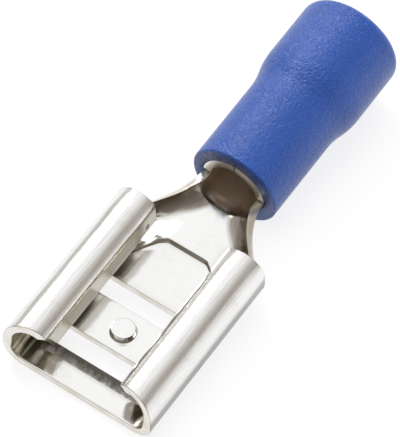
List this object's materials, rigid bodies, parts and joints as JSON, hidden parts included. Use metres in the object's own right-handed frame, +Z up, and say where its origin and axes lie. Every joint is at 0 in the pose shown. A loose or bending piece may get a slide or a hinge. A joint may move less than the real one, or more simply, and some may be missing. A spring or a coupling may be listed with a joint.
{
  "type": "female spade terminal",
  "caption": "Pre-insulated female spade terminal: folded tinned socket with rolled wings and spring bridge, crimp barrel under a flared blue sleeve.",
  "frame": {"origin": "centre of the tab socket's mouth, on the floor face that the tab slides on", "axes": "+Y along the terminal from the mouth to the wire end, +Z up through the rolled wings, +X across the tab"},
  "size_m": [0.0074, 0.021, 0.0048],
  "materials": {
    "tinned_sheet": "bright tin plating",
    "blue_sleeve": "fine matt moulding"
  },
  "bodies": {
    "root": {"terminal": "tinned_sheet", "insulation_sleeve": "blue_sleeve"}
  },
  "joints": []
}
